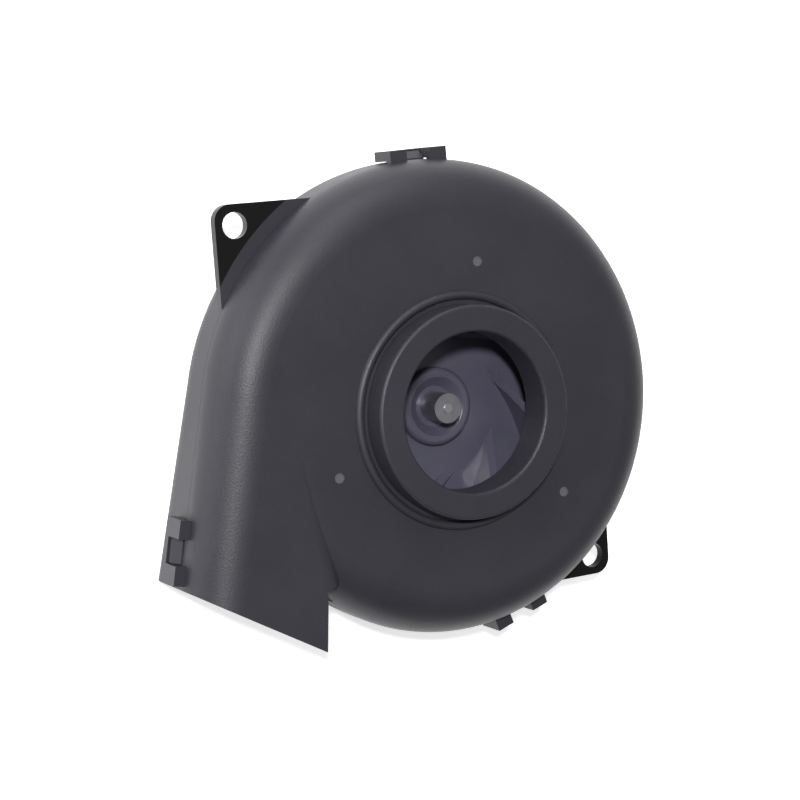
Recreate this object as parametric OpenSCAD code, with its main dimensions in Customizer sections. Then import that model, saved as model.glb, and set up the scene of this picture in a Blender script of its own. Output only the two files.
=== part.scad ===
// Centrifugal DC blower: snap-together scroll housing, backward-curved impeller
// and an outer-rotor brushless motor on two miniature ball bearings.
// Frame: millimetres, fan axis along +Z, back face on z = 0, inlet facing +Z,
// outlet duct running towards -Y on the -X side.

/* [Scroll housing] */
// Radius of the scroll arc that starts below the axis
scroll_r = 50.2; // [48:0.1:56]
// Growth of the scroll radius every quarter turn
scroll_step = 2.1; // [1.6:0.1:2.6]
// Height of the housing from back face to front face
body_h = 27; // [25:0.5:32]
// Height of the joint between back shell and front shell
part_z = 16; // [15:0.5:17]
// Thickness of the side walls
wall = 1.8; // [1.5:0.1:2.2]
// Thickness of the front face
face_t = 2; // [1.6:0.1:2.4]
// Thickness of the back face
floor_t = 2; // [1.6:0.1:2.4]
// Outside rounding between front face and side wall
front_round = 10; // [8:0.5:10.5]
// Outside rounding between back face and side wall
rear_round = 10; // [8:0.5:10.5]
// Height of the locating lip inside the joint
lip_h = 1.5; // [1:0.1:2]
// Thickness of the locating lip
lip_t = 0.8; // [0.6:0.1:0.9]
// Gap between mating faces of the two shells
shell_gap = 0.1; // [0.05:0.05:0.2]

/* [Inlet] */
// Outside radius of the inlet collar
collar_r = 22.75; // [21:0.25:24]
// Height of the inlet collar above the front face
collar_h = 6; // [4:0.5:8]
// Radius of the inlet throat
throat_r = 17; // [15.5:0.25:18]
// Rounding of the collar rim, inside and outside
collar_round = 0.7; // [0.4:0.1:1]
// Radius of the centre line of the bead around the collar
bead_r = 24.6; // [24:0.1:26]
// Section radius of that bead
bead_w = 1; // [0.8:0.1:1.3]
// Distance of the three ejector marks from the axis
mark_r = 31.9; // [30:0.1:34]
// Direction of the first ejector mark
mark_turn = 91; // [0:1:119]
// Diameter of an ejector mark
mark_d = 2.2; // [1.6:0.1:3]
// Depth of an ejector mark
mark_depth = 0.25; // [0.1:0.05:0.4]

/* [Outlet duct] */
// Width of the duct at its mouth
duct_w = 30; // [28:0.5:32]
// Distance from the axis to the far corner of the mouth
duct_reach = 52.7; // [50:0.5:58]
// Slant of the mouth
mouth_angle = 18.6; // [10:0.2:22]
// Angle by which the tongue wall leans
tongue_lean = 6.5; // [3:0.5:8]
// Radius of the outside corner between tongue wall and scroll
tongue_r = 3; // [2:0.5:4]
// Rounding where the duct's flat face runs down into the scroll
crease_r = 4.5; // [4.5:0.5:6]
// Rear rounding of the outer duct wall at its mouth
mouth_round = 1.5; // [0.5:0.5:3]
// Height of the front rim that stands out around the mouth
rim_w = 0.5; // [0.3:0.1:0.8]

/* [Mounting ears] */
// Turn of the square on which the ears stand
ear_turn = 12; // [10:0.5:14]
// Side of the square on which the ear holes lie
ear_pitch = 81.8; // [80:0.1:84]
// Shift of the square's centre along its own X
ear_shift_x = -3.3; // [-4:0.1:-2.5]
// Shift of the square's centre along its own Y
ear_shift_y = 2; // [1:0.1:3]
// Thickness of an ear
ear_t = 2.1; // [1.8:0.1:3]
// Diameter of an ear hole
ear_hole_d = 5.5; // [4.5:0.1:6]
// Distance from hole centre to the edges of the ear
ear_margin = 4.4; // [4:0.1:5.5]

/* [Snap clips] */
// Length of a clip along the wall
clip_l = 13.6; // [12:0.2:16]
// Length of each leg of a clip
clip_leg = 4; // [3:0.2:4.6]
// How far a clip stands out from the wall
clip_out = 2.3; // [2:0.1:3]
// Height of a clip behind the housing joint
clip_drop = 5; // [4:0.5:6]
// Height of a clip in front of the housing joint
clip_rise = 2.2; // [1.5:0.1:3]
// Gap around the hook inside its clip
clip_gap = 0.3; // [0.2:0.05:0.4]

/* [Impeller] */
// Number of blades
blades = 7; // [5:1:9]
// Outside radius of the impeller
impeller_r = 41.5; // [38:0.5:42.5]
// Height of the top face of the hub plate
plate_z = 14; // [13.8:0.1:14.6]
// Thickness of the hub plate
plate_t = 1.7; // [1.2:0.1:1.7]
// Radius at which the hub plate starts to fall
plate_flat_r = 26; // [24:0.5:28]
// Height of the hub plate at its rim
rim_z = 6.2; // [5.5:0.1:7]
// Thickness of a blade
blade_t = 1.1; // [0.8:0.1:1.4]
// Radius of a blade's curve
blade_curve = 36.7; // [34:0.1:40]
// Distance from the axis to the centre of a blade's curve
blade_centre = 22.4; // [21:0.1:24]
// Turn of the first blade
blade_turn = -116; // [-180:1:180]
// Radius where a blade rises from the plate
blade_start_r = 15.6; // [14:0.1:17]
// Radius where a blade reaches its full height
blade_full_r = 22; // [20:0.5:24]
// Gap between the blades and the front face
blade_gap = 1; // [0.8:0.1:1.5]
// Radius of the raised cup in the middle of the plate
cup_r = 8.6; // [7.5:0.1:10]
// Height of that cup above the plate
cup_h = 2.1; // [1.5:0.1:3]

/* [Motor] */
// Radius of the shaft
shaft_r = 1; // [1:0.05:1.2]
// Height of the shaft's tip
shaft_top = 20.95; // [20:0.05:22]
// Radius of the bush that carries the impeller
bush_r = 3.25; // [3:0.05:3.6]
// Height of the top of that bush
bush_top = 20.7; // [19:0.1:21]
// Outside radius of the steel yoke
yoke_r = 17; // [16.5:0.1:17.4]
// Thickness of the yoke's sheet
yoke_t = 0.7; // [0.5:0.05:0.8]
// Height of the yoke's open end
yoke_z = 5.3; // [5.2:0.1:5.6]
// Thickness of the ring magnet
magnet_t = 1.5; // [1.2:0.1:1.6]
// Height of the ring magnet
magnet_h = 5.2; // [4.5:0.1:5.3]
// Air gap between magnet and stator
air_gap = 0.5; // [0.3:0.05:0.6]
// Thickness of the stator's lamination stack
stack_t = 3; // [2.5:0.1:3.2]
// Number of stator poles
poles = 4; // [3:1:5]
// Width of a stator arm
arm_w = 3.6; // [3:0.1:4]
// Outside radius of the bearing tube
tube_r = 4.2; // [4:0.05:4.4]
// Outside radius of a ball bearing
bearing_r = 3; // [2.8:0.05:3.1]
// Width of a ball bearing
bearing_w = 2.5; // [2.3:0.1:2.6]
// Diameter of a bearing ball
ball_d = 1; // [0.8:0.05:1]
// Number of balls in a bearing
balls = 7; // [6:1:7]
// Radius of the circuit board
board_r = 15.2; // [14.5:0.1:15.4]
// Thickness of the circuit board
board_t = 0.8; // [0.6:0.1:0.9]
// Height of the underside of the circuit board
board_z = 4.1; // [3.9:0.05:4.2]
// Fit between parts that are pushed together
push_fit = 0.02; // [0.01:0.01:0.04]

/* [Hidden] */
$fn = 72;
eps = 0.01;

// The scroll is drawn with four arcs, one per quarter turn, whose centres are the
// corners of a small square, so that neighbouring arcs share a tangent.
function arc_r(k) = scroll_r + k * scroll_step;
function arc_x(k) = (k == 0 || k == -1 ? 1 : -1) * scroll_step / 2;
function arc_y(k) = (k == 0 || k == 1 ? 1 : -1) * scroll_step / 2;
// Distance from the axis to the scroll's outside at an angle between -90 and 180
function scroll_at(a) = let (k = a < 0 ? 0 : a < 90 ? 1 : 2,
                             p = arc_x(k) * cos(a) + arc_y(k) * sin(a))
                        p + sqrt(pow(arc_r(k), 2) - pow(arc_x(k), 2) - pow(arc_y(k), 2) + p * p);

duct_x = -(scroll_r + 2.5 * scroll_step);
tongue_x = duct_x + duct_w;
mouth_top_y = -duct_reach + duct_w * tan(mouth_angle);
// Where the crease beside the tongue runs out on the faces
crease_end = [-36.5, -14];
// How far the cavity runs on past the mouth
mouth_run = 8;
// How far the web beside the tongue reaches into the walls it joins
web_in = 0.6;
// How far it rises past the straight part of the scroll's wall
web_rise = 2;
// How far the roll beside the crease overlaps the duct
crease_in = 1;
big = 200;
// Distance of the duct's clip from the mouth; hook of a clip: thickness and height
clip_from_mouth = 7.7;
hook_t = 1.1;
hook_h = 1.6;
// Radius of the disc that fills the middle, where the arcs' centres differ
core_r = 5;

// Tongue corner: centre of its rounding and the two points where it ends
tongue_up = [-sin(tongue_lean), cos(tongue_lean)];
tongue_out = [cos(tongue_lean), sin(tongue_lean)];
tongue_foot = [tongue_x, -duct_reach];
arc_c = [arc_x(-1), arc_y(-1)];
tongue_q = tongue_foot + tongue_r * tongue_out - arc_c;
tongue_rise = -tongue_q * tongue_up
    - sqrt(pow(tongue_q * tongue_up, 2) - tongue_q * tongue_q + pow(arc_r(-1) + tongue_r, 2));
tongue_c = tongue_foot + tongue_r * tongue_out + tongue_rise * tongue_up;
tongue_on_wall = tongue_c - tongue_r * tongue_out;
tongue_on_arc = arc_c + (tongue_c - arc_c) * arc_r(-1) / (arc_r(-1) + tongue_r);
tongue_tip = tongue_on_wall + 5 * tongue_up;
crease_run = norm(crease_end - tongue_tip);
crease_turn = atan2(crease_end[0] - tongue_tip[0], -crease_end[1] + tongue_tip[1]) + 180;

// Heights inside the housing
ceiling_z = body_h - face_t;
collar_z = body_h + collar_h;
yoke_top = plate_z - plate_t;
magnet_r = yoke_r - yoke_t - push_fit;
stator_r = magnet_r - magnet_t - air_gap;
bearing_high = yoke_top - 1.3 - bearing_w;
bearing_low = floor_t + 1;
tube_top = bearing_high + bearing_w + 0.1;
stack_z = (yoke_z + yoke_top) / 2 - stack_t / 2 - 0.3;
// Insulator film, coil sizes and how far along its arm a coil starts and ends
film_t = 0.6;
coil_t = 0.6;
coil_w = 1.7;
coil_start = 7.2;
coil_end = 11.6;
shoe_t = 1.6;
// Half the angle that a pole shoe spans
shoe_half = 156 / poles;
blade_top = ceiling_z - blade_gap;
ball_pitch = (shaft_r + bearing_r) / 2;
race_gap = 0.02;
// Distance from the middle of a bearing's balls to the bare edge of either ring
ring_in = ball_d * 0.33;
// Circlip near the shaft's lower end: height of the groove, gap, depth as a share of the radius
groove_z = bearing_low - 0.45;
groove_h = 0.45;
groove_r = shaft_r * 0.75;
pin_r = 0.35;
pin_at = 5.9;
post_at = 12.6;
lead_at = 19;
lead_r = 2.2;

housing_black = "#2a2b2f";
impeller_grey = "#3d4150";
steel = "#b9bcc2";

// Half section of a cover: x outwards to r, y from z0 up to z1, rounded on its outer top edge
module cover_section(r, z0, z1, round) {
    translate([0, z0]) square([r - round, z1 - z0]);
    translate([0, z0]) square([r, z1 - round - z0]);
    intersection() {
        translate([r - round, z1 - round]) circle(round);
        translate([0, z0]) square([r, z1 - z0]);
    }
}

// Half section of a tray: the same with its rounding on the outer bottom edge
module tray_section(r, z0, z1, round) {
    translate([0, z0]) square([r - round, z1 - z0]);
    translate([0, z0 + round]) square([r, z1 - round - z0]);
    intersection() {
        translate([r - round, z0 + round]) circle(round);
        translate([0, z0]) square([r, z1 - z0]);
    }
}

// Outline of the duct seen along the axis
module duct_plan() {
    polygon([
        [duct_x - 1, arc_y(2)],
        [duct_x - 1, mouth_top_y + tan(mouth_angle)],
        tongue_foot,
        tongue_tip,
        crease_end,
        [0, arc_y(2)]
    ]);
}

// Cavity outline: as above, but running out through the mouth
module duct_bore_plan() {
    polygon([
        [duct_x - 1, arc_y(2)],
        [duct_x - 1, mouth_top_y + tan(mouth_angle) - mouth_run],
        tongue_foot - wall * tongue_out - mouth_run * tongue_up,
        tongue_tip - wall * tongue_out,
        crease_end,
        [0, arc_y(2)]
    ]);
}

// Runs a half section along the crease, from its end on the faces towards the tongue
module along_crease(run) {
    translate(crease_end)
        rotate(crease_turn)
            translate([0, crease_in, 0])
                rotate([90, 0, 0])
                    linear_extrude(run + crease_in) children();
}

// Web that rounds the outside corner between tongue and scroll
module tongue_web_plan() {
    difference() {
        polygon([
            tongue_on_wall - web_in * tongue_out,
            tongue_c,
            tongue_on_arc + web_in * (arc_c - tongue_c) / (arc_r(-1) + tongue_r),
            tongue_tip + tongue_up - 2 * web_in * tongue_out
        ]);
        translate(tongue_c) circle(tongue_r + 0.05);
    }
}

// Solid volume of the front half; wall_off and face_off draw it inwards for the cavity
module front_volume(z0, wall_off, face_off) {
    z1 = body_h - face_off;
    round = front_round - face_off;
    translate([0, 0, z0]) cylinder(h = z1 - z0, r = core_r);
    for (k = [-1:2])
        translate([arc_x(k), arc_y(k), 0])
            rotate(90 * k - 90)
                rotate_extrude(angle = 90)
                    cover_section(arc_r(k) - wall_off, z0, z1, round);
    intersection() {
        translate([0, arc_y(2), 0])
            rotate([90, 0, 0])
                linear_extrude(duct_reach + 20)
                    mirror([1, 0]) cover_section(-duct_x - wall_off, z0, z1, round);
        translate([0, 0, z0])
            linear_extrude(z1 - z0)
                if (wall_off > 0) duct_bore_plan(); else duct_plan();
    }
    // Below the crease's end the duct's face rolls down to the scroll's rounding
    along_crease(crease_run - 1.5 - 4 * wall_off)
        translate([-crease_in, 0])
            cover_section(crease_in + crease_r - face_off, z0 + 2, z1, crease_r - face_off);
}

// Solid volume of the back half
module back_volume(z1, wall_off, face_off) {
    round = rear_round - face_off;
    translate([0, 0, face_off]) cylinder(h = z1 - face_off, r = core_r);
    for (k = [-1:2])
        translate([arc_x(k), arc_y(k), 0])
            rotate(90 * k - 90)
                rotate_extrude(angle = 90)
                    tray_section(arc_r(k) - wall_off, face_off, z1, round);
    intersection() {
        hull() {
            translate([0, arc_y(2), 0])
                rotate([90, 0, 0])
                    linear_extrude(eps)
                        mirror([1, 0]) tray_section(-duct_x - wall_off, face_off, z1, round, $fn = 48);
            translate([0, -duct_reach - 20, 0])
                rotate([90, 0, 0])
                    linear_extrude(eps)
                        mirror([1, 0]) tray_section(-duct_x - wall_off, face_off, z1, mouth_round, $fn = 48);
        }
        linear_extrude(z1)
            if (wall_off > 0) duct_bore_plan(); else duct_plan();
    }
    along_crease(crease_run - 1.5 - 4 * wall_off)
        translate([-crease_in, 0]) tray_section(crease_in + crease_r - face_off, face_off, z1, crease_r - face_off);
}

// Lip that follows the inside of the scroll and of the outer duct wall, one piece per arc
module lip_ring(outer_off, inner_off, z0, z1, trim) {
    for (k = [-1:2]) {
        sweep = k == -1 ? 22 : 90;
        translate([arc_x(k), arc_y(k), 0])
            rotate(90 * k - sweep + trim)
                rotate_extrude(angle = sweep - 2 * trim)
                    translate([arc_r(k) - inner_off, z0])
                        square([inner_off - outer_off, z1 - z0]);
    }
    translate([duct_x + outer_off, mouth_top_y + 4 + trim, z0])
        cube([inner_off - outer_off, arc_y(2) - mouth_top_y - 4 - 2 * trim, z1 - z0]);
}

// The three places of the snap clips: x outwards from the wall, y along it
module at_clips() {
    for (a = [-59, 103.6])
        rotate(a) translate([scroll_at(a), 0, 0]) children();
    translate([duct_x, mouth_top_y + clip_from_mouth, 0]) rotate(180) children();
}

// Snap loop that reaches back over a catch of the back shell
module clip_loop() {
    leg_y = clip_l / 2 - clip_leg;
    low = part_z - clip_drop;
    stand = 0.15;
    for (s = [-1, 1]) {
        translate([stand, s * (leg_y + clip_leg / 2) - clip_leg / 2, low])
            cube([clip_out - stand, clip_leg, clip_drop + clip_rise]);
        translate([-wall / 2, s * (leg_y + clip_leg / 2) - clip_leg / 2, part_z + 3 * shell_gap])
            cube([clip_out + wall / 2, clip_leg, clip_rise - 3 * shell_gap]);
    }
    translate([clip_out - hook_t, -leg_y - 1, low])
        cube([hook_t, 2 * leg_y + 2, hook_h]);
}

// Wedge that the loop snaps over
module clip_catch() {
    half = clip_l / 2 - clip_leg - clip_gap;
    low = part_z - clip_drop + hook_h + clip_gap;
    translate([0, half, 0])
        rotate([90, 0, 0])
            linear_extrude(2 * half)
                polygon([[-wall / 2, low], [clip_out - 0.5, low], [clip_out - 0.5, low + 0.9],
                         [0.3, part_z - 0.2], [-wall / 2, part_z - 0.2]]);
}

// One ear: a corner of the square; the back shell's cavity is taken out of it
module ear(side) {
    reach = 26;
    corner_r = 3.5;
    edge = ear_pitch / 2 + ear_margin;
    translate([0, 0, part_z - shell_gap - ear_t])
        rotate(ear_turn)
            translate([ear_shift_x, ear_shift_y, 0])
                rotate(side)
                    linear_extrude(ear_t)
                        difference() {
                            union() {
                                translate([edge - reach, edge - reach]) square([reach - corner_r, reach]);
                                translate([edge - reach, edge - reach]) square([reach, reach - corner_r]);
                                translate([edge - corner_r, edge - corner_r]) circle(corner_r);
                            }
                            translate([ear_pitch / 2, ear_pitch / 2]) circle(d = ear_hole_d);
                        }
}

module front_shell() color(housing_black) {
    difference() {
        union() {
            front_volume(part_z + shell_gap, 0, 0);
            translate([0, 0, part_z + shell_gap])
                linear_extrude(body_h - front_round + web_rise - part_z - shell_gap) tongue_web_plan();
            // Inlet collar with rounded rims
            rotate_extrude() {
                translate([throat_r - 0.5, ceiling_z])
                    square([collar_r - throat_r + 0.5, collar_z - collar_round - ceiling_z]);
                translate([throat_r + collar_round, ceiling_z])
                    square([collar_r - throat_r - 2 * collar_round, collar_z - ceiling_z]);
                translate([collar_r - collar_round, collar_z - collar_round]) circle(collar_round);
                translate([throat_r + collar_round, collar_z - collar_round]) circle(collar_round);
                translate([bead_r, body_h]) circle(bead_w);
            }
            at_clips() clip_loop();
        }
        front_volume(part_z - 1, wall, face_t);
        lip_ring(wall - lip_t - shell_gap, wall + 0.5, part_z - 1, part_z + lip_h + shell_gap, 2);
        // Throat
        translate([0, 0, ceiling_z - 1]) cylinder(h = collar_z, r = throat_r);
        // Ejector marks
        for (i = [0:2])
            rotate(mark_turn + 120 * i)
                translate([mark_r, 0, body_h - mark_depth]) cylinder(h = 1, d = mark_d);
    }
}

module back_shell() color(housing_black) {
    difference() {
        union() {
            back_volume(part_z, 0, 0);
            translate([0, 0, rear_round - web_rise])
                linear_extrude(part_z - rear_round + web_rise) tongue_web_plan();
            lip_ring(wall - lip_t, wall + 0.3, part_z - 2, part_z + lip_h, 3);
            ear(90);
            ear(-90);
            at_clips() clip_catch();
        }
        back_volume(part_z + 5, wall, floor_t);
        // Hole for the leads
        rotate(-60) translate([lead_at, 0, -1]) cylinder(h = floor_t + 2, r = lead_r);
    }
    // Boss for the bearing tube
    translate([0, 0, floor_t - eps])
        difference() {
            cylinder(h = board_z - floor_t - 0.1, r = tube_r + 1.4);
            translate([0, 0, -1]) cylinder(h = 10, r = tube_r + push_fit);
        }
    // Posts under the circuit board
    for (i = [0:2])
        rotate(30 + 120 * i)
            translate([post_at, 0, floor_t - eps]) cylinder(h = board_z - floor_t + eps, r = 1.3);
}

module bearing_tube() color("#c9a45c") {
    difference() {
        translate([0, 0, floor_t]) cylinder(h = tube_top - floor_t, r = tube_r);
        translate([0, 0, floor_t - 1])
            cylinder(h = bearing_low + bearing_w + 1 - floor_t, r = bearing_r + push_fit);
        translate([0, 0, bearing_high]) cylinder(h = 10, r = bearing_r + push_fit);
        translate([0, 0, floor_t]) cylinder(h = 10, r = bearing_r - 0.5);
    }
}

// Plan of the stator: hub ring, arms and curved pole shoes
module stator_plan(hub_in, hub_out, arm, reach, shoe) {
    difference() {
        union() {
            circle(hub_out);
            for (i = [0:poles - 1])
                rotate(360 / poles * i)
                    translate([0, -arm / 2]) square([reach, arm]);
            if (shoe > 0)
                for (i = [0:poles - 1])
                    rotate(360 / poles * i)
                        intersection() {
                            difference() {
                                circle(stator_r);
                                circle(stator_r - shoe);
                            }
                            polygon([[0, 0], [big, -big * tan(shoe_half)], [big, big * tan(shoe_half)]]);
                        }
        }
        circle(hub_in);
    }
}

module stator_core() color("#8a8d92") {
    translate([0, 0, stack_z])
        linear_extrude(stack_t)
            stator_plan(tube_r + push_fit, 6.4, arm_w, stator_r - shoe_t / 2, shoe_t);
}

module stator_insulators() color("#e8e4d8") {
    for (z = [stack_z - film_t, stack_z + stack_t])
        translate([0, 0, z])
            linear_extrude(film_t)
                stator_plan(tube_r + 0.1, 6.8, arm_w + 1, coil_end + 0.8, 0);
}

module stator_windings() color("#b5651d") {
    hole_w = arm_w + 1.2;
    hole_h = stack_t + 2 * film_t + 0.1;
    hole_z = stack_z - film_t - 0.05;
    for (i = [0:poles - 1])
        rotate(360 / poles * i)
            translate([coil_start, 0, hole_z])
                rotate([90, 0, 90])
                    linear_extrude(coil_end - coil_start)
                        difference() {
                            translate([-hole_w / 2 - coil_w, -coil_t])
                                square([hole_w + 2 * coil_w, hole_h + 2 * coil_t]);
                            translate([-hole_w / 2, 0]) square([hole_w, hole_h]);
                        }
}

module winding_pins() color(steel) {
    for (i = [0:poles - 1])
        rotate(360 / poles * (i + 0.5))
            translate([pin_at, 0, board_z - 0.6])
                cylinder(h = stack_z - film_t - board_z + 0.6, r = pin_r);
}

module circuit_board() color("#1f6b3a") {
    difference() {
        translate([0, 0, board_z]) cylinder(h = board_t, r = board_r);
        translate([0, 0, board_z - 1]) cylinder(h = 3, r = tube_r + 0.4);
        for (i = [0:poles - 1])
            rotate(360 / poles * (i + 0.5))
                translate([pin_at, 0, board_z - 1]) cylinder(h = 3, r = pin_r + 0.05);
    }
}

module driver_chip() color("#17181a") {
    rotate(90) translate([8, -2.5, board_z - 1.3]) cube([4, 5, 1.3]);
}

module hall_sensor() color("#17181a") {
    rotate(45) translate([13.1, -1.5, board_z - 1]) cube([1.6, 3, 1]);
}

module filter_capacitor() color("#c8a878") {
    rotate(-30) translate([8, -1.6, board_z - 1.6]) cube([2.5, 3.2, 1.6]);
}

module chip_resistors() color("#202225") {
    for (i = [0:4])
        rotate(170 + 16 * i) translate([10, -0.4, board_z - 0.5]) cube([1.6, 0.8, 0.5]);
}

// Places of the two bearings
module at_bearings() {
    for (z = [bearing_low, bearing_high])
        translate([0, 0, z + bearing_w / 2]) children();
}

module bearing_outer_rings() color(steel) {
    at_bearings()
        rotate_extrude()
            difference() {
                translate([ball_pitch + ring_in, -bearing_w / 2])
                    square([bearing_r - ball_pitch - ring_in, bearing_w]);
                translate([ball_pitch, 0]) circle(ball_d / 2 + race_gap);
            }
}

module bearing_inner_rings() color(steel) {
    at_bearings()
        rotate_extrude()
            difference() {
                translate([shaft_r + push_fit, -bearing_w / 2])
                    square([ball_pitch - ring_in - shaft_r - push_fit, bearing_w]);
                translate([ball_pitch, 0]) circle(ball_d / 2 + race_gap);
            }
}

module bearing_balls() color("silver") {
    at_bearings()
        for (i = [0:balls - 1])
            rotate(360 / balls * i) translate([ball_pitch, 0, 0]) sphere(d = ball_d);
}

module bearing_cages() color("#b08d4a") {
    at_bearings()
        difference() {
            rotate_extrude()
                translate([ball_pitch - 0.18, -ball_d * 0.6]) square([0.36, ball_d * 1.2]);
            for (i = [0:balls - 1])
                rotate(360 / balls * i)
                    translate([ball_pitch - 1, 0, 0])
                        rotate([0, 90, 0]) cylinder(h = 2, d = ball_d + 0.08);
        }
}

module shaft() color(steel) {
    difference() {
        translate([0, 0, bearing_low - 0.75]) cylinder(h = shaft_top - bearing_low + 0.75, r = shaft_r);
        translate([0, 0, groove_z])
            difference() {
                cylinder(h = groove_h, r = shaft_r + 1);
                translate([0, 0, -1]) cylinder(h = 3, r = groove_r);
            }
    }
}

module retaining_ring() color("#55585d") {
    translate([0, 0, groove_z + 0.03])
        linear_extrude(groove_h - 0.05)
            difference() {
                circle(shaft_r + 0.9);
                circle(groove_r + push_fit);
                translate([0, -0.5]) square([shaft_r + 2, 1]);
            }
}

module preload_washer() color(steel) {
    translate([0, 0, bearing_high + bearing_w])
        linear_extrude(0.2)
            difference() {
                circle(ball_pitch - ring_in);
                circle(shaft_r + 0.05);
            }
}

module hub_bush() color("#9a9ca3") {
    difference() {
        union() {
            translate([0, 0, yoke_top]) cylinder(h = bush_top - yoke_top, r = bush_r);
            translate([0, 0, bearing_high + bearing_w + 0.2])
                cylinder(h = yoke_top - bearing_high - bearing_w, r = bush_r - 0.8);
        }
        cylinder(h = 40, r = shaft_r + push_fit);
    }
}

module rotor_yoke() color("#777a80") {
    rotate_extrude()
        union() {
            translate([yoke_r - yoke_t, yoke_z]) square([yoke_t, yoke_top - yoke_z]);
            translate([bush_r - 0.8 + push_fit, yoke_top - yoke_t])
                square([yoke_r - bush_r + 0.8 - push_fit, yoke_t]);
        }
}

module ring_magnet() color("#3a3330") {
    translate([0, 0, stack_z + stack_t / 2 - magnet_h / 2])
        difference() {
            cylinder(h = magnet_h, r = magnet_r);
            translate([0, 0, -1]) cylinder(h = magnet_h + 2, r = magnet_r - magnet_t);
        }
}

// Half section of the hub plate, its skirt round the yoke and the cup in its middle
module hub_section() {
    skirt = 1.4;
    bore = bush_r + push_fit;
    rim = 1.1;
    polygon([
        [bore, plate_z - plate_t],
        [plate_flat_r, plate_z - plate_t],
        [impeller_r, rim_z - plate_t + 0.3],
        [impeller_r, rim_z],
        [plate_flat_r, plate_z],
        [bore, plate_z]
    ]);
    translate([yoke_r + push_fit, yoke_z]) square([skirt, plate_z - yoke_z - eps]);
    polygon([
        [bore, plate_z - eps],
        [bore, plate_z + cup_h * 0.15],
        [bore + 1.2, plate_z + cup_h * 0.2],
        [cup_r - 1.9 * rim, plate_z + cup_h * 0.92],
        [cup_r - rim, plate_z + cup_h],
        [cup_r - rim, plate_z - eps]
    ]);
    translate([cup_r - 1.5 * rim, plate_z - eps]) square([1.5 * rim, cup_h - rim + eps]);
    translate([cup_r - rim, plate_z + cup_h - rim]) circle(rim);
}

// Region that the blades fill, as a half section
module blade_section() {
    polygon([
        [blade_start_r, plate_z - 0.6],
        [blade_start_r, plate_z],
        [blade_full_r, blade_top],
        [impeller_r - 3, blade_top],
        [impeller_r, blade_top - 1.6],
        [impeller_r, rim_z - 0.6],
        [plate_flat_r, plate_z - 0.6]
    ]);
}

// One backward-curved blade seen along the axis
module blade_plan() {
    intersection() {
        translate([blade_centre, 0])
            difference() {
                circle(blade_curve + blade_t / 2);
                circle(blade_curve - blade_t / 2);
            }
        translate([-big / 2, 0]) square([big, big / 2]);
    }
}

module impeller() color(impeller_grey) {
    rotate_extrude() hub_section();
    intersection() {
        rotate_extrude() blade_section();
        translate([0, 0, rim_z - 2])
            linear_extrude(blade_top)
                for (i = [0:blades - 1])
                    rotate(blade_turn + 360 / blades * i) blade_plan();
    }
}

front_shell();
back_shell();
bearing_tube();
stator_core();
stator_insulators();
stator_windings();
winding_pins();
circuit_board();
driver_chip();
hall_sensor();
filter_capacitor();
chip_resistors();
bearing_outer_rings();
bearing_balls();
bearing_cages();
bearing_inner_rings();
shaft();
retaining_ring();
preload_washer();
hub_bush();
rotor_yoke();
ring_magnet();
impeller();
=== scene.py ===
import math

import bpy
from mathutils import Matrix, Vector


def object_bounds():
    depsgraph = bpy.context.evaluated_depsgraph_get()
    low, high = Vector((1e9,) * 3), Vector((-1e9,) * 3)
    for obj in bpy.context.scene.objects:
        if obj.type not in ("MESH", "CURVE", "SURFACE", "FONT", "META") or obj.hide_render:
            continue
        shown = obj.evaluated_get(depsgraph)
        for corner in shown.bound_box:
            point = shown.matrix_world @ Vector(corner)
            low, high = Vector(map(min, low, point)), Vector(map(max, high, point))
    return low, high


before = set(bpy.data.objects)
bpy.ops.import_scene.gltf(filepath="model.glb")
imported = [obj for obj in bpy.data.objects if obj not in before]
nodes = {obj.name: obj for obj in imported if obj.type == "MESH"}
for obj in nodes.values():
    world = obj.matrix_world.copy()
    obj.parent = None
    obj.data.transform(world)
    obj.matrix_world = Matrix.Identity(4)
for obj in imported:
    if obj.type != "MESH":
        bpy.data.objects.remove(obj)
cad_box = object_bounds()

MM = 0.001

# Heights and places on the housing, in millimetres
EAR_Z = (13.6, 15.95)
EAR_FROM = (-2.6, 1.0)
EAR_STARTS_AT = 54.6
FACE_Z = 26.5
MARK_R = 31.9
MARK_TURNS = (91, 211, 331)
MARK_HALF = 1.1


# ---------------------------------------------------------------- shader helpers
def new_material(name):
    mat = bpy.data.materials.new(name)
    mat.use_nodes = True
    tree = mat.node_tree
    return mat, tree, tree.nodes["Principled BSDF"]


def add(tree, kind, **values):
    """New node; a value goes to the property of its name, or else to the input of its name."""
    node = tree.nodes.new(kind)
    for key, value in values.items():
        if hasattr(node, key):
            setattr(node, key, value)
        else:
            node.inputs[key.replace("_", " ")].default_value = value
    return node


def link(tree, source, target):
    tree.links.new(source, target)


def place(tree):
    return add(tree, "ShaderNodeTexCoord").outputs["Object"]


def noise(tree, scale, detail, rough, at):
    node = add(tree, "ShaderNodeTexNoise", Scale=scale, Detail=detail, Roughness=rough)
    link(tree, at, node.inputs["Vector"])
    return node.outputs["Fac"]


def ramp(tree, value, low, high, colour_low, colour_high):
    node = add(tree, "ShaderNodeValToRGB")
    node.color_ramp.elements[0].position = low
    node.color_ramp.elements[1].position = high
    node.color_ramp.elements[0].color = (*colour_low, 1)
    node.color_ramp.elements[1].color = (*colour_high, 1)
    link(tree, value, node.inputs["Fac"])
    return node.outputs["Color"]


def span(tree, value, low, high, out_low, out_high):
    """Stretches the range low to high onto the range out_low to out_high."""
    node = add(tree, "ShaderNodeMapRange")
    for key, number in (("From Min", low), ("From Max", high), ("To Min", out_low), ("To Max", out_high)):
        node.inputs[key].default_value = number
    link(tree, value, node.inputs["Value"])
    return node.outputs["Result"]


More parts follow.
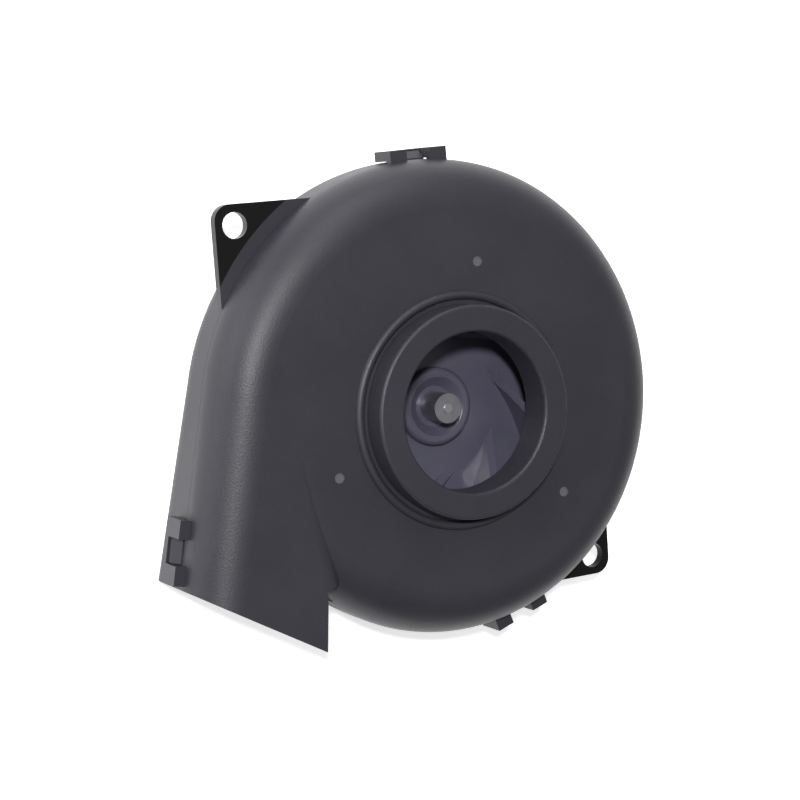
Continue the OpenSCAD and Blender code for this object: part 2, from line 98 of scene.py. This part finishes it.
def bump(tree, height, distance, strength):
    node = add(tree, "ShaderNodeBump", Distance=distance, Strength=strength)
    link(tree, height, node.inputs["Height"])
    return node.outputs["Normal"]


def math_node(tree, operation, a, b=None, clamp=False):
    node = add(tree, "ShaderNodeMath", operation=operation)
    node.use_clamp = clamp
    for socket, value in zip(node.inputs, (a, b)):
        if isinstance(value, (int, float)):
            socket.default_value = value
        elif value is not None:
            link(tree, value, socket)
    return node.outputs["Value"]


def split(tree, where):
    """The x, y and z of a place."""
    parts = add(tree, "ShaderNodeSeparateXYZ")
    link(tree, where, parts.inputs[0])
    return parts.outputs


def away_from(tree, x, y, centre=(0, 0)):
    """Distance in the fan's plane from a centre given in millimetres."""
    dx = math_node(tree, "SUBTRACT", x, centre[0] * MM)
    dy = math_node(tree, "SUBTRACT", y, centre[1] * MM)
    return math_node(tree, "SQRT", math_node(
        tree, "ADD", math_node(tree, "MULTIPLY", dx, dx), math_node(tree, "MULTIPLY", dy, dy)))


def mix_colour(tree, factor, a, b):
    node = add(tree, "ShaderNodeMix", data_type="RGBA")
    factor_in, a_in, b_in = node.inputs[0], node.inputs[6], node.inputs[7]
    link(tree, factor, factor_in)
    for socket, value in ((a_in, a), (b_in, b)):
        if isinstance(value, tuple):
            socket.default_value = (*value, 1)
        else:
            link(tree, value, socket)
    return node.outputs[2]


def colour_noise(tree, shader, cloud, low, high):
    link(tree, ramp(tree, cloud, 0.3, 0.7, low, high), shader.inputs["Base Color"])


# ---------------------------------------------------------------- materials
def ear_finish_and_painted_shade_mask(tree, x, y, z):
    """1 on the two ears: outside the scroll, on the diagonal away from the duct."""
    ear_high = math_node(tree, "MULTIPLY",
                         math_node(tree, "GREATER_THAN", z, EAR_Z[0] * MM),
                         math_node(tree, "LESS_THAN", z, EAR_Z[1] * MM))
    ear_out = math_node(tree, "GREATER_THAN", away_from(tree, x, y, EAR_FROM), EAR_STARTS_AT * MM)
    ear_side = math_node(tree, "LESS_THAN", math_node(tree, "MULTIPLY", x, y), 0.0)
    return math_node(tree, "MULTIPLY", ear_high, math_node(tree, "MULTIPLY", ear_out, ear_side))


def mark_mask(tree, x, y, z):
    """1 on the floors of the ejector marks in the front face."""
    mark = 0.0
    for turn in MARK_TURNS:
        centre = (MARK_R * math.cos(math.radians(turn)), MARK_R * math.sin(math.radians(turn)))
        inside = math_node(tree, "LESS_THAN", away_from(tree, x, y, centre), MARK_HALF * MM)
        mark = math_node(tree, "ADD", mark, inside)
    return math_node(tree, "MULTIPLY", mark, math_node(tree, "GREATER_THAN", z, FACE_Z * MM))


def housing_plastic():
    """Dark moulded plastic: fine spark-eroded grain with lighter flecks that are partly painted glints,
    smooth ears whose near-black colour is painted shade, paler marks.
    """
    mat, tree, shader = new_material("housing_plastic")
    where = place(tree)
    x, y, z = split(tree, where)
    not_ear = math_node(tree, "SUBTRACT", 1.0, ear_finish_and_painted_shade_mask(tree, x, y, z), clamp=True)
    mark = mark_mask(tree, x, y, z)

    grain = noise(tree, 3200, 2.0, 0.55, where)
    pits = add(tree, "ShaderNodeTexVoronoi", Scale=2100.0)
    link(tree, where, pits.inputs["Vector"])
    cloud = noise(tree, 45, 4.0, 0.6, where)
    height = math_node(tree, "ADD", grain, math_node(tree, "MULTIPLY", pits.outputs["Distance"], 0.45))
    height = math_node(tree, "MULTIPLY", height, not_ear)
    link(tree, bump(tree, height, 0.06 * MM, 0.55), shader.inputs["Normal"])

    tone = ramp(tree, cloud, 0.35, 0.68, (0.0200, 0.0190, 0.0265), (0.0245, 0.0232, 0.0310))
    # Lighter flecks in the grain: partly the grain's own tone, partly painted glints standing in for the
    # grain's sparkle in highlights.
    grain_and_glint_flecks = math_node(tree, "MULTIPLY", span(tree, grain, 0.35, 0.7, 0.0, 1.0), 0.35)
    tone = mix_colour(tree, grain_and_glint_flecks, tone, (0.030, 0.029, 0.032))
    # Painted shade: the ears' near-black colour stands in for the shade and dark reflections on their
    # glossy front; their smoother, ungrained finish is real.
    tone = mix_colour(tree, not_ear, (0.0045, 0.0045, 0.005), tone)
    tone = mix_colour(tree, mark, tone, (0.085, 0.083, 0.092))
    link(tree, tone, shader.inputs["Base Color"])
    smoother = math_node(tree, "MULTIPLY", 0.16, math_node(tree, "SUBTRACT", 1.0, not_ear))
    rough = math_node(tree, "SUBTRACT", span(tree, cloud, 0.3, 0.7, 0.43, 0.50), smoother)
    link(tree, rough, shader.inputs["Roughness"])
    link(tree, span(tree, not_ear, 0.0, 1.0, 0.20, 0.37), shader.inputs["Specular IOR Level"])
    return mat


def impeller_plastic():
    """Smooth dark plastic with a bluish cast and a faint cloudiness."""
    mat, tree, shader = new_material("impeller_plastic")
    where = place(tree)
    cloud = noise(tree, 90, 3.0, 0.5, where)
    fine = noise(tree, 5200, 2.0, 0.5, where)
    colour_noise(tree, shader, cloud, (0.060, 0.057, 0.083), (0.072, 0.069, 0.098))
    link(tree, span(tree, cloud, 0.3, 0.7, 0.27, 0.32), shader.inputs["Roughness"])
    link(tree, bump(tree, fine, 0.01 * MM, 0.15), shader.inputs["Normal"])
    return mat


def metal(name, low, high, rough, scratch=900.0, strength=0.25, across=1.0):
    """Turned or ground metal, with fine lines round the axis."""
    mat, tree, shader = new_material(name)
    where = place(tree)
    x, y, z = split(tree, where)
    lines_at = add(tree, "ShaderNodeCombineXYZ")
    link(tree, math_node(tree, "MULTIPLY", away_from(tree, x, y), 6.0), lines_at.inputs[0])
    link(tree, math_node(tree, "MULTIPLY", z, 6.0 * across), lines_at.inputs[1])
    lines = noise(tree, scratch, 3.0, 0.6, lines_at.outputs[0])
    colour_noise(tree, shader, noise(tree, 300, 3.0, 0.5, where), low, high)
    link(tree, span(tree, lines, 0.3, 0.7, rough - 0.06, rough + 0.08), shader.inputs["Roughness"])
    link(tree, bump(tree, lines, 0.01 * MM, strength), shader.inputs["Normal"])
    shader.inputs["Metallic"].default_value = 1.0
    return mat


def plain(name, low, high, rough, scale, depth=0.01):
    """Non-metal with colour, roughness and surface that vary at the given scale."""
    mat, tree, shader = new_material(name)
    where = place(tree)
    cloud = noise(tree, scale, 4.0, 0.6, where)
    fine = noise(tree, scale * 6, 2.0, 0.5, where)
    colour_noise(tree, shader, cloud, low, high)
    link(tree, span(tree, cloud, 0.3, 0.7, rough - 0.05, rough + 0.06), shader.inputs["Roughness"])
    link(tree, bump(tree, fine, depth * MM, 0.4), shader.inputs["Normal"])
    return mat


def winding():
    """Enamelled copper wire laid side by side."""
    mat, tree, shader = new_material("enamelled_copper")
    waves = add(tree, "ShaderNodeTexWave", wave_type="RINGS", rings_direction="Z", Scale=1700.0)
    waves.inputs["Distortion"].default_value = 0.2
    link(tree, place(tree), waves.inputs["Vector"])
    wires = waves.outputs["Fac"]
    # Across each turn the colour runs from dark at its edges to light along its crown: painted shade
    # between turns and a painted highlight on each.
    link(tree, ramp(tree, wires, 0.1, 0.9, (0.20, 0.06, 0.015), (0.62, 0.24, 0.07)),
         shader.inputs["Base Color"])
    link(tree, bump(tree, wires, 0.08 * MM, 0.8), shader.inputs["Normal"])
    shader.inputs["Metallic"].default_value = 0.85
    shader.inputs["Roughness"].default_value = 0.32
    shader.inputs["Coat Weight"].default_value = 0.6
    return mat


def board():
    """Green solder mask with copper tracks showing through."""
    mat, tree, shader = new_material("circuit_board_mask")
    cells = add(tree, "ShaderNodeTexVoronoi", Scale=420.0, distance="CHEBYCHEV", feature="F1")
    link(tree, place(tree), cells.inputs["Vector"])
    tracks = span(tree, cells.outputs["Distance"], 0.30, 0.34, 0.0, 1.0)
    link(tree, mix_colour(tree, tracks, (0.012, 0.085, 0.030), (0.030, 0.170, 0.060)),
         shader.inputs["Base Color"])
    link(tree, bump(tree, tracks, 0.03 * MM, 0.5), shader.inputs["Normal"])
    shader.inputs["Roughness"].default_value = 0.28
    shader.inputs["Coat Weight"].default_value = 0.3
    return mat


housing = housing_plastic()
ground_steel = metal("ground_steel", (0.52, 0.53, 0.55), (0.62, 0.63, 0.65), 0.24)
lamination = metal("lamination_steel", (0.26, 0.27, 0.29), (0.36, 0.37, 0.39), 0.42, 1500.0, 0.4, 6.0)
spring_steel = metal("spring_steel", (0.18, 0.18, 0.19), (0.28, 0.28, 0.30), 0.35)
turned_brass = metal("turned_brass", (0.56, 0.40, 0.16), (0.70, 0.52, 0.24), 0.28)
epoxy = plain("moulded_epoxy", (0.012, 0.012, 0.013), (0.022, 0.022, 0.024), 0.55, 3000)
MATERIALS = {
    "front_shell": housing,
    "back_shell": housing,
    "impeller": impeller_plastic(),
    "hub_bush": metal("cast_bush", (0.30, 0.30, 0.33), (0.40, 0.40, 0.43), 0.42),
    "shaft": ground_steel,
    "rotor_yoke": metal("zinc_steel", (0.44, 0.45, 0.47), (0.55, 0.56, 0.58), 0.34),
    "ring_magnet": plain("bonded_ferrite", (0.022, 0.021, 0.021), (0.045, 0.043, 0.042), 0.62, 2500, 0.03),
    "bearing_tube": turned_brass,
    "bearing_cages": turned_brass,
    "stator_core": lamination,
    "stator_insulators": plain("natural_nylon", (0.62, 0.58, 0.48), (0.74, 0.70, 0.60), 0.42, 500),
    "stator_windings": winding(),
    "winding_pins": ground_steel,
    "circuit_board": board(),
    "driver_chip": epoxy,
    "hall_sensor": epoxy,
    "chip_resistors": epoxy,
    "filter_capacitor": plain("fired_ceramic", (0.40, 0.29, 0.17), (0.52, 0.39, 0.25), 0.48, 3000),
    "bearing_outer_rings": ground_steel,
    "bearing_inner_rings": ground_steel,
    "bearing_balls": ground_steel,
    "retaining_ring": spring_steel,
    "preload_washer": spring_steel,
}
for name, node in nodes.items():
    node.data.materials.clear()
    node.data.materials.append(MATERIALS[name])


# ---------------------------------------------------------------- floor and background
def white_ground():
    """White to the camera and in reflections; the object's shadow stays on it."""
    mat = bpy.data.materials.new("floor_white")
    mat.use_nodes = True
    tree = mat.node_tree
    tree.nodes.clear()
    out = add(tree, "ShaderNodeOutputMaterial")
    diffuse = add(tree, "ShaderNodeBsdfDiffuse", Color=(0.86, 0.86, 0.86, 1))
    glow = add(tree, "ShaderNodeEmission", Color=(1, 1, 1, 1), Strength=0.62)
    both = add(tree, "ShaderNodeAddShader")
    paths = add(tree, "ShaderNodeLightPath")
    seen = math_node(tree, "ADD", paths.outputs["Is Camera Ray"], paths.outputs["Is Glossy Ray"])
    seen = math_node(tree, "ADD", seen, paths.outputs["Is Transmission Ray"], clamp=True)
    choose = add(tree, "ShaderNodeMixShader")
    link(tree, seen, choose.inputs[0])
    link(tree, diffuse.outputs[0], choose.inputs[1])
    link(tree, diffuse.outputs[0], both.inputs[0])
    link(tree, glow.outputs[0], both.inputs[1])
    link(tree, both.outputs[0], choose.inputs[2])
    link(tree, choose.outputs[0], out.inputs[0])
    return mat


def lay_floor(size=6.0, gap=0.3 * MM):
    """Square floor a little below the part."""
    half = size / 2
    corners = [(-half, -half, 0), (half, -half, 0), (half, half, 0), (-half, half, 0)]
    mesh = bpy.data.meshes.new("floor")
    mesh.from_pydata(corners, [], [(0, 1, 2, 3)])
    mesh.materials.append(white_ground())
    floor = bpy.data.objects.new("floor", mesh)
    floor.location.z = cad_box[0][2] - gap
    bpy.context.scene.collection.objects.link(floor)


def studio_room():
    """White behind the object; its light is plain grey and weaker on the duct's side."""
    world = bpy.data.worlds.new("studio")
    bpy.context.scene.world = world
    world.use_nodes = True
    tree = world.node_tree
    tree.nodes.clear()
    paths = add(tree, "ShaderNodeLightPath")
    seen = math_node(tree, "ADD", paths.outputs["Is Camera Ray"], paths.outputs["Is Transmission Ray"])
    room = add(tree, "ShaderNodeBackground", Color=(1, 1, 1, 1))
    white = add(tree, "ShaderNodeBackground", Color=(1, 1, 1, 1), Strength=1.0)
    toward = split(tree, add(tree, "ShaderNodeTexCoord").outputs["Generated"])
    link(tree, span(tree, toward[1], -0.8, 0.3, 0.14, 0.42), room.inputs["Strength"])
    choose = add(tree, "ShaderNodeMixShader")
    out = add(tree, "ShaderNodeOutputWorld")
    link(tree, seen, choose.inputs[0])
    link(tree, room.outputs[0], choose.inputs[1])
    link(tree, white.outputs[0], choose.inputs[2])
    link(tree, choose.outputs[0], out.inputs[0])


lay_floor()
studio_room()


# ---------------------------------------------------------------- lights
def area_light(name, toward, distance, size, power):
    """Round white lamp in the given direction from the middle of the part, facing it."""
    data = bpy.data.lights.new(name, "AREA")
    data.shape = "DISK"
    data.size = size
    data.energy = power
    lamp = bpy.data.objects.new(name, data)
    direction = Vector(toward).normalized()
    lamp.location = Vector((0, 0, 0.02)) + direction * distance
    lamp.rotation_euler = direction.to_track_quat("Z", "Y").to_euler()
    bpy.context.scene.collection.objects.link(lamp)


area_light("key", (-0.58, 0.225, 1.0), distance=1.1, size=0.10, power=13.0)
area_light("left_soft", (-1.0, 0.25, 0.12), distance=1.2, size=0.8, power=7.0)
area_light("top_soft", (-0.25, 1.0, 0.55), distance=1.2, size=0.7, power=4.6)

# ---------------------------------------------------------------- camera
camera = bpy.data.cameras.new("camera")
camera.lens = 90
camera.sensor_width = 36
camera.clip_start = 0.01
eye = bpy.data.objects.new("camera", camera)
eye.location = (-0.21432, 0.01038, 0.39448)
eye.rotation_euler = [math.radians(angle) for angle in (-4.78, -28.09, 7.34)]
bpy.context.scene.collection.objects.link(eye)
bpy.context.scene.camera = eye
bpy.context.scene.view_settings.view_transform = "Standard"
